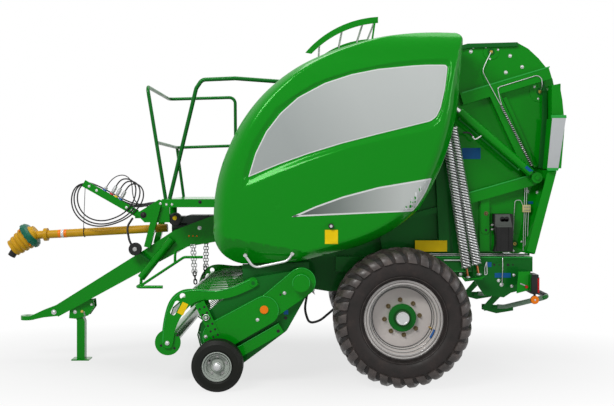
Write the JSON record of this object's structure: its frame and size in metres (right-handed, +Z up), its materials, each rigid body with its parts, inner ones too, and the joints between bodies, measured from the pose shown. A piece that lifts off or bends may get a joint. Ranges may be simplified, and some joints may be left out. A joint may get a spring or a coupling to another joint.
{
  "type": "round baler",
  "caption": "Towed farm baler that picks up a swath and rolls it into a round bale, with side doors, a lifting tailgate, pickup reel, drawbar and drive shaft.",
  "frame": {"origin": "on the ground, under the middle of the machine's length and width", "axes": "+X to the machine's rear, -Y to its left side, +Z up; the drawbar and drive shaft point to -X"},
  "size_m": [4.9867, 2.68, 3.112],
  "materials": {
    "green_paint": "gloss",
    "dark_green_paint": "gloss",
    "tyre_rubber": "matte",
    "rim_paint": "satin",
    "zinc": "satin",
    "steel": "worn",
    "black_rubber": "matte",
    "black_plastic": "matte",
    "guard_plastic": "satin",
    "gearbox_iron": "painted",
    "lamp_lens": "gloss",
    "chrome_rod": "polished"
  },
  "bodies": {
    "chassis": {"axle": "dark_green_paint", "chamber_belts": "black_rubber", "chamber_rollers": "steel", "chamber_wall_left": "dark_green_paint", "chamber_wall_right": "dark_green_paint", "chassis_frame": "dark_green_paint", "control_cable": "black_rubber", "drawbar": "green_paint", "front_cover": "green_paint", "gearbox": "gearbox_iron", "handrails": "dark_green_paint", "hitch_eye": "steel", "hose_couplers": "zinc", "hose_holder": "green_paint", "hose_inner": "black_rubber", "hose_middle": "black_rubber", "hose_outer": "black_rubber", "lift_chains": "zinc", "platform": "green_paint", "pto_guard": "guard_plastic", "rear_side_plates": "dark_green_paint", "shaft_strap": "black_rubber", "step": "green_paint", "tail_lamps": "lamp_lens", "tension_springs": "zinc", "top_guard": "green_paint"},
    "wheel_left": {"tyre_left": "tyre_rubber", "rim_left": "rim_paint", "hub_left": "green_paint"},
    "wheel_right": {"tyre_right": "tyre_rubber", "rim_right": "rim_paint", "hub_right": "green_paint"},
    "feed_rotor": {"feed_rotor": "steel"},
    "pickup": {"pickup_frame": "dark_green_paint", "pickup_bands": "zinc", "pickup_drive_cover": "green_paint", "gauge_arms": "green_paint"},
    "pickup_reel": {"pickup_reel": "dark_green_paint"},
    "gauge_wheel_left": {"gauge_tyre_left": "tyre_rubber", "gauge_rim_left": "zinc"},
    "gauge_wheel_right": {"gauge_tyre_right": "tyre_rubber", "gauge_rim_right": "zinc"},
    "windguard": {"windguard": "green_paint"},
    "crop_roller": {"crop_roller": "zinc"},
    "door_left": {"door_left": "green_paint"},
    "door_right": {"door_right": "green_paint"},
    "tailgate": {"tailgate_left": "green_paint", "tailgate_right": "green_paint", "tailgate_wings": "green_paint", "tailgate_cross_tubes": "dark_green_paint", "tailgate_rollers": "zinc", "tailgate_belts": "black_rubber", "wheel_chock": "black_plastic"},
    "ram_barrel_left": {"ram_barrel_left": "dark_green_paint"},
    "ram_barrel_right": {"ram_barrel_right": "dark_green_paint"},
    "ram_rod_left": {"ram_rod_left": "chrome_rod"},
    "ram_rod_right": {"ram_rod_right": "chrome_rod"},
    "bale_kicker": {"bale_kicker": "dark_green_paint"},
    "stand": {"stand": "zinc"},
    "pto_yoke": {"pto_yoke": "steel"}
  },
  "joints": [
    {"name": "wheel_left_spin", "type": "hinge", "parent": "chassis", "child": "wheel_left", "pos_m": [1.09, -1.05, 0.565], "axis": [0, 1, 0], "continuous": true},
    {"name": "wheel_right_spin", "type": "hinge", "parent": "chassis", "child": "wheel_right", "pos_m": [1.09, 1.05, 0.565], "axis": [0, 1, 0], "continuous": true},
    {"name": "feed_rotor_spin", "type": "hinge", "parent": "chassis", "child": "feed_rotor", "pos_m": [0.268, 0, 0.853], "axis": [0, 1, 0], "continuous": true},
    {"name": "pickup_lift", "type": "hinge", "parent": "chassis", "child": "pickup", "pos_m": [0.268, 0, 0.853], "axis": [0, 1, 0], "range_deg": [0, 12], "deforming": ["lift_chains"]},
    {"name": "pickup_reel_spin", "type": "hinge", "parent": "pickup", "child": "pickup_reel", "pos_m": [-0.4, 0, 0.405], "axis": [0, 1, 0], "continuous": true},
    {"name": "gauge_wheel_left_spin", "type": "hinge", "parent": "pickup", "child": "gauge_wheel_left", "pos_m": [-0.4, -1.262, 0.205], "axis": [0, 1, 0], "continuous": true},
    {"name": "gauge_wheel_right_spin", "type": "hinge", "parent": "pickup", "child": "gauge_wheel_right", "pos_m": [-0.4, 1.262, 0.205], "axis": [0, 1, 0], "continuous": true},
    {"name": "windguard_float", "type": "hinge", "parent": "pickup", "child": "windguard", "pos_m": [-0.127, 0, 0.842], "axis": [0, 1, 0], "range_deg": [0, 5]},
    {"name": "crop_roller_spin", "type": "hinge", "parent": "windguard", "child": "crop_roller", "pos_m": [-0.83, 0, 0.352], "axis": [0, 1, 0], "continuous": true},
    {"name": "door_left_open", "type": "hinge", "parent": "chassis", "child": "door_left", "pos_m": [1.2, -0.826, 2.836], "axis": [-1, 0, 0], "range_deg": [0, 70]},
    {"name": "door_right_open", "type": "hinge", "parent": "chassis", "child": "door_right", "pos_m": [1.2, 0.826, 2.836], "axis": [1, 0, 0], "range_deg": [0, 70]},
    {"name": "tailgate_open", "type": "hinge", "parent": "chassis", "child": "tailgate", "pos_m": [1.56, 0, 2.7], "axis": [0, -1, 0], "range_deg": [0, 60]},
    {"name": "ram_barrel_left_pivot", "type": "hinge", "parent": "tailgate", "child": "ram_barrel_left", "pos_m": [2.268, -0.8, 1.706], "axis": [0, -1, 0], "range_deg": [-2.7, 0]},
    {"name": "ram_barrel_right_pivot", "type": "hinge", "parent": "tailgate", "child": "ram_barrel_right", "pos_m": [2.268, 0.8, 1.706], "axis": [0, -1, 0], "range_deg": [-2.7, 0]},
    {"name": "ram_rod_left_slide", "type": "slide", "parent": "ram_barrel_left", "child": "ram_rod_left", "axis": [-0.7583, 0, 0.6519], "range_m": [0, 0.2975]},
    {"name": "ram_rod_right_slide", "type": "slide", "parent": "ram_barrel_right", "child": "ram_rod_right", "axis": [-0.7583, 0, 0.6519], "range_m": [0, 0.2975]},
    {"name": "bale_kicker_drop", "type": "hinge", "parent": "chassis", "child": "bale_kicker", "pos_m": [1.89, 0, 0.56], "axis": [0, 1, 0], "range_deg": [0, 12], "stiffness_Nm_per_rad": 600, "springref_deg": -28.65},
    {"name": "stand_fold", "type": "hinge", "parent": "chassis", "child": "stand", "pos_m": [-1.856, 0, 0.455], "axis": [0, -1, 0], "range_deg": [0, 90]},
    {"name": "pto_yoke_spin", "type": "hinge", "parent": "chassis", "child": "pto_yoke", "pos_m": [-2.39, 0, 1.11], "axis": [-0.5299, 0, -0.848], "continuous": true}
  ],
  "couplings": [
    {"joint": "ram_barrel_left_pivot", "follows": "tailgate_open", "ratio": -0.044},
    {"joint": "ram_rod_left_slide", "follows": "tailgate_open", "m_per_rad": 0.283},
    {"joint": "ram_barrel_right_pivot", "follows": "tailgate_open", "ratio": -0.044},
    {"joint": "ram_rod_right_slide", "follows": "tailgate_open", "m_per_rad": 0.283}
  ]
}
